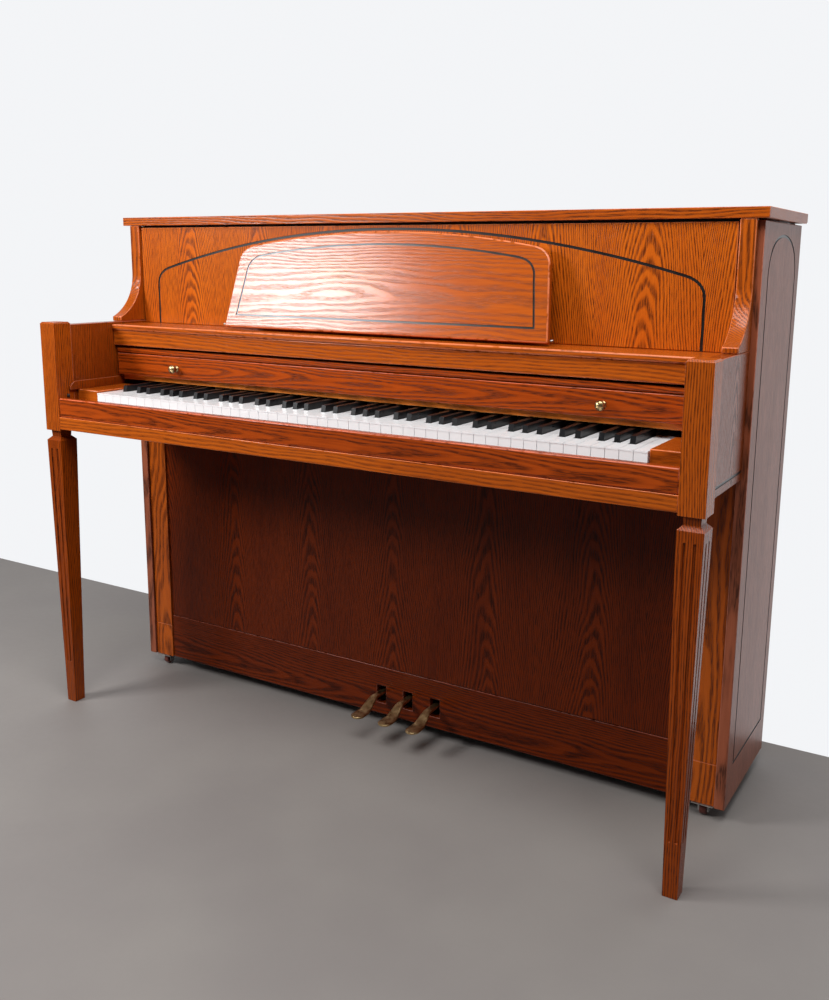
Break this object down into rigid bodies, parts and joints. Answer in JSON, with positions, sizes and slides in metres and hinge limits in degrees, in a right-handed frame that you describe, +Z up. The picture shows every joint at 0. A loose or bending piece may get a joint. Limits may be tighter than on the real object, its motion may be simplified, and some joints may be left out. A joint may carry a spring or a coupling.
{
  "type": "upright piano",
  "caption": "Console upright piano in satin red-brown oak, arched music desk, fluted tapering front legs, sliding folding fallboard, keys, brass pedals, casters",
  "frame": {"origin": "on the floor, under the middle of the overall box", "axes": "+X to the player's right (treble end), +Y away from the player towards the wall, +Z up"},
  "size_m": [1.447, 0.55, 1.083],
  "materials": {
    "oak_case": "red-brown open-grained oak veneer under satin gloss lacquer",
    "oak_solid": "solid red-brown oak, satin gloss lacquer, edges rubbed lighter",
    "brass": "aged polished brass",
    "steel": "plain steel",
    "wheel_rubber": "dark red moulded wheel",
    "black_paint": "black painted board",
    "raw_wood": "bare wood with a thin clear coat",
    "plate_gold": "bronze-coloured paint on cast iron",
    "felt": "pressed wool felt on wood",
    "key_white": "glossy white key tops",
    "key_black": "satin black key tops"
  },
  "bodies": {
    "case": {"side_panel_left": "oak_case", "side_panel_right": "oak_case", "arm_left": "oak_case", "arm_right": "oak_case", "upper_panel": "oak_case", "music_shelf": "oak_case", "shelf_rail": "oak_case", "key_slip": "oak_case", "key_block_left": "oak_case", "key_block_right": "oak_case", "stile_left": "oak_case", "stile_right": "oak_case", "lower_panel": "oak_case", "toe_rail": "oak_case", "name_board": "oak_case", "fallboard_rest_left": "oak_case", "fallboard_rest_right": "oak_case", "arm_post_left": "oak_solid", "arm_post_right": "oak_solid", "front_leg_left": "oak_solid", "front_leg_right": "oak_solid", "bracket_left": "oak_solid", "bracket_right": "oak_solid", "key_bed": "oak_solid", "lid_hinge_case_leaf": "brass", "strings": "steel", "action_frame": "steel", "caster_fork_front_left": "steel", "caster_fork_front_right": "steel", "caster_fork_back_left": "steel", "caster_fork_back_right": "steel", "bottom_board": "black_paint", "back_frame": "raw_wood", "soundboard": "raw_wood", "key_frame": "raw_wood", "iron_plate": "plate_gold"},
    "lid": {"lid": "oak_case", "lid_hinge_lid_leaf": "brass"},
    "music_desk": {"music_desk": "oak_case"},
    "guide_rod": {"fallboard_guide_rod": "steel"},
    "fallboard_leaf": {"fallboard_leaf": "oak_case"},
    "fallboard_flap": {"fallboard_flap": "oak_case", "fallboard_knob_left": "brass", "fallboard_knob_right": "brass"},
    "soft_pedal": {"soft_pedal": "brass"},
    "middle_pedal": {"middle_pedal": "brass"},
    "sustain_pedal": {"sustain_pedal": "brass"},
    "hammers": {"hammers": "felt"},
    "dampers": {"dampers": "felt"},
    "key_c4": {"key_c4": "key_white"},
    "key_c_sharp4": {"key_c_sharp4": "key_black"},
    "key_d4": {"key_d4": "key_white"},
    "bass_white_keys": {"bass_white_keys": "key_white"},
    "bass_black_keys": {"bass_black_keys": "key_black"},
    "treble_white_keys": {"treble_white_keys": "key_white"},
    "treble_black_keys": {"treble_black_keys": "key_black"},
    "caster_wheel_front_left": {"caster_wheel_front_left": "wheel_rubber"},
    "caster_wheel_front_right": {"caster_wheel_front_right": "wheel_rubber"},
    "caster_wheel_back_left": {"caster_wheel_back_left": "wheel_rubber"},
    "caster_wheel_back_right": {"caster_wheel_back_right": "wheel_rubber"}
  },
  "joints": [
    {"name": "lid_hinge", "type": "hinge", "parent": "case", "child": "lid", "pos_m": [0, 0.2725, 1.0635], "axis": [-1, 0, 0], "range_deg": [0, 95]},
    {"name": "desk_fold", "type": "hinge", "parent": "case", "child": "music_desk", "pos_m": [0, -0.076, 0.857], "axis": [1, 0, 0], "range_deg": [0, 100]},
    {"name": "fallboard_slide", "type": "slide", "parent": "case", "child": "guide_rod", "axis": [0, -1, 0], "range_m": [0, 0.1126]},
    {"name": "fallboard_tilt", "type": "hinge", "parent": "guide_rod", "child": "fallboard_leaf", "pos_m": [0, 0.01, 0.7897], "axis": [1, 0, 0], "range_deg": [0, 18.5]},
    {"name": "flap_hinge", "type": "hinge", "parent": "fallboard_leaf", "child": "fallboard_flap", "pos_m": [0, -0.104, 0.7897], "axis": [-1, 0, 0], "range_deg": [0, 90]},
    {"name": "soft_pedal_pivot", "type": "hinge", "parent": "case", "child": "soft_pedal", "pos_m": [-0.029, 0.032, 0.076], "axis": [1, 0, 0], "range_deg": [0, 8], "stiffness_Nm_per_rad": 8, "springref_deg": -8.59},
    {"name": "middle_pedal_pivot", "type": "hinge", "parent": "case", "child": "middle_pedal", "pos_m": [0.038, 0.032, 0.076], "axis": [1, 0, 0], "range_deg": [0, 8], "stiffness_Nm_per_rad": 8, "springref_deg": -8.59},
    {"name": "sustain_pedal_pivot", "type": "hinge", "parent": "case", "child": "sustain_pedal", "pos_m": [0.105, 0.032, 0.076], "axis": [1, 0, 0], "range_deg": [0, 8], "stiffness_Nm_per_rad": 8, "springref_deg": -8.59},
    {"name": "hammer_rest_swing", "type": "hinge", "parent": "case", "child": "hammers", "pos_m": [0, 0.094, 0.7685], "axis": [-1, 0, 0], "range_deg": [0, 6.5]},
    {"name": "damper_lift", "type": "hinge", "parent": "case", "child": "dampers", "pos_m": [0, 0.112, 0.7665], "axis": [1, 0, 0], "range_deg": [0, 3.3]},
    {"name": "key_c4_balance", "type": "hinge", "parent": "case", "child": "key_c4", "pos_m": [-0.0588, -0.01, 0.686], "axis": [1, 0, 0], "range_deg": [0, 2.65], "stiffness_Nm_per_rad": 1, "springref_deg": -4.58},
    {"name": "key_c_sharp4_balance", "type": "hinge", "parent": "case", "child": "key_c_sharp4", "pos_m": [-0.0494, -0.01, 0.686], "axis": [1, 0, 0], "range_deg": [0, 2.65], "stiffness_Nm_per_rad": 1, "springref_deg": -4.58},
    {"name": "key_d4_balance", "type": "hinge", "parent": "case", "child": "key_d4", "pos_m": [-0.0353, -0.01, 0.686], "axis": [1, 0, 0], "range_deg": [0, 2.65], "stiffness_Nm_per_rad": 1, "springref_deg": -4.58},
    {"name": "bass_white_keys_balance", "type": "hinge", "parent": "case", "child": "bass_white_keys", "pos_m": [0, -0.01, 0.686], "axis": [1, 0, 0], "range_deg": [0, 2.65], "stiffness_Nm_per_rad": 23, "springref_deg": -4.58},
    {"name": "bass_black_keys_balance", "type": "hinge", "parent": "case", "child": "bass_black_keys", "pos_m": [0, -0.01, 0.686], "axis": [1, 0, 0], "range_deg": [0, 2.65], "stiffness_Nm_per_rad": 16, "springref_deg": -4.58},
    {"name": "treble_white_keys_balance", "type": "hinge", "parent": "case", "child": "treble_white_keys", "pos_m": [0, -0.01, 0.686], "axis": [1, 0, 0], "range_deg": [0, 2.65], "stiffness_Nm_per_rad": 27, "springref_deg": -4.58},
    {"name": "treble_black_keys_balance", "type": "hinge", "parent": "case", "child": "treble_black_keys", "pos_m": [0, -0.01, 0.686], "axis": [1, 0, 0], "range_deg": [0, 2.65], "stiffness_Nm_per_rad": 19, "springref_deg": -4.58},
    {"name": "caster_axle_front_left", "type": "hinge", "parent": "case", "child": "caster_wheel_front_left", "pos_m": [-0.673, 0.01, 0.012], "axis": [1, 0, 0], "continuous": true},
    {"name": "caster_axle_front_right", "type": "hinge", "parent": "case", "child": "caster_wheel_front_right", "pos_m": [0.673, 0.01, 0.012], "axis": [1, 0, 0], "continuous": true},
    {"name": "caster_axle_back_left", "type": "hinge", "parent": "case", "child": "caster_wheel_back_left", "pos_m": [-0.673, 0.2325, 0.012], "axis": [1, 0, 0], "continuous": true},
    {"name": "caster_axle_back_right", "type": "hinge", "parent": "case", "child": "caster_wheel_back_right", "pos_m": [0.673, 0.2325, 0.012], "axis": [1, 0, 0], "continuous": true}
  ],
  "couplings": [
    {"joint": "fallboard_tilt", "follows": "fallboard_slide", "rad_per_m": 2.852},
    {"joint": "flap_hinge", "follows": "fallboard_slide", "rad_per_m": 13.94},
    {"joint": "hammer_rest_swing", "follows": "soft_pedal_pivot", "ratio": 0.8},
    {"joint": "damper_lift", "follows": "sustain_pedal_pivot", "ratio": 0.4}
  ]
}
